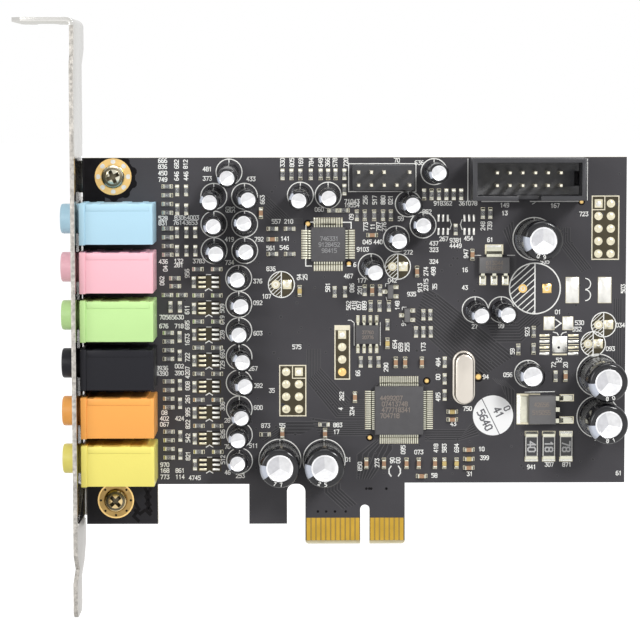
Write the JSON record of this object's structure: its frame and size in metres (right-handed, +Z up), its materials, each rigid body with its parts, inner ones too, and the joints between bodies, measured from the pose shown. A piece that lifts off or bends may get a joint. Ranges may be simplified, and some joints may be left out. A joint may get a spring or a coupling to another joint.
{
  "type": "internal sound card",
  "caption": "Plug-in computer sound card: black circuit board with an edge connector, steel slot bracket and a column of coloured audio jacks.",
  "frame": {"origin": "middle of the key notch at the lower edge of the connector tongue, halfway through the board", "axes": "+X along the board away from the bracket, +Y from the component side to the solder side, +Z up"},
  "size_m": [0.1225, 0.0232, 0.12],
  "materials": {
    "board": "semi-matt black solder mask over laminate",
    "gold_contact": "bright gold plate",
    "bracket_steel": "satin nickel-plated sheet",
    "screw_steel": "bright plated steel",
    "blue_plastic": "satin moulded plastic",
    "pink_plastic": "satin moulded plastic",
    "green_plastic": "satin moulded plastic",
    "black_plastic": "satin moulded plastic",
    "orange_plastic": "satin moulded plastic",
    "yellow_plastic": "satin moulded plastic",
    "spring_metal": "tinned spring strip",
    "header_plastic": "matt glass-filled plastic",
    "gold_pin": "gold flash",
    "crystal_metal": "satin nickel-plated can",
    "chip_plastic": "matt moulded epoxy",
    "tinned_lead": "bright tin plate",
    "capacitor": "bright can top in a black sleeve",
    "chip_resistor": "black glaze between tinned ends",
    "ceramic": "fired ceramic between tinned ends",
    "sticker_paper": "matt white paper"
  },
  "bodies": {
    "root": {"black_jack": "black_plastic", "blue_jack": "blue_plastic", "box_header_pins": "gold_pin", "box_header_shroud": "header_plastic", "bracket": "bracket_steel", "ceramic_capacitors": "ceramic", "channel_parts": "chip_resistor", "circuit_board": "board", "codec_chip": "chip_plastic", "codec_leads": "tinned_lead", "controller_chip": "chip_plastic", "controller_leads": "tinned_lead", "crystal_base": "crystal_metal", "crystal_can": "crystal_metal", "edge_contacts": "gold_contact", "green_jack": "green_plastic", "jack_filter_parts": "chip_resistor", "jack_springs": "spring_metal", "large_capacitors": "capacitor", "lower_bracket_screw": "screw_steel", "medium_capacitors": "capacitor", "memory_chip": "chip_plastic", "memory_leads": "tinned_lead", "middle_resistors": "chip_resistor", "orange_jack": "orange_plastic", "pin_header_base": "header_plastic", "pin_header_pins": "gold_pin", "pink_jack": "pink_plastic", "power_regulator_chip": "chip_plastic", "power_regulator_leads": "tinned_lead", "power_resistors": "chip_resistor", "regulator_chip": "chip_plastic", "regulator_leads": "tinned_lead", "right_resistors": "chip_resistor", "round_sticker": "sticker_paper", "small_capacitors": "capacitor", "transistor_chips": "chip_plastic", "transistor_leads": "tinned_lead", "upper_bracket_screw": "screw_steel", "upper_resistors": "chip_resistor", "yellow_jack": "yellow_plastic"}
  },
  "joints": []
}
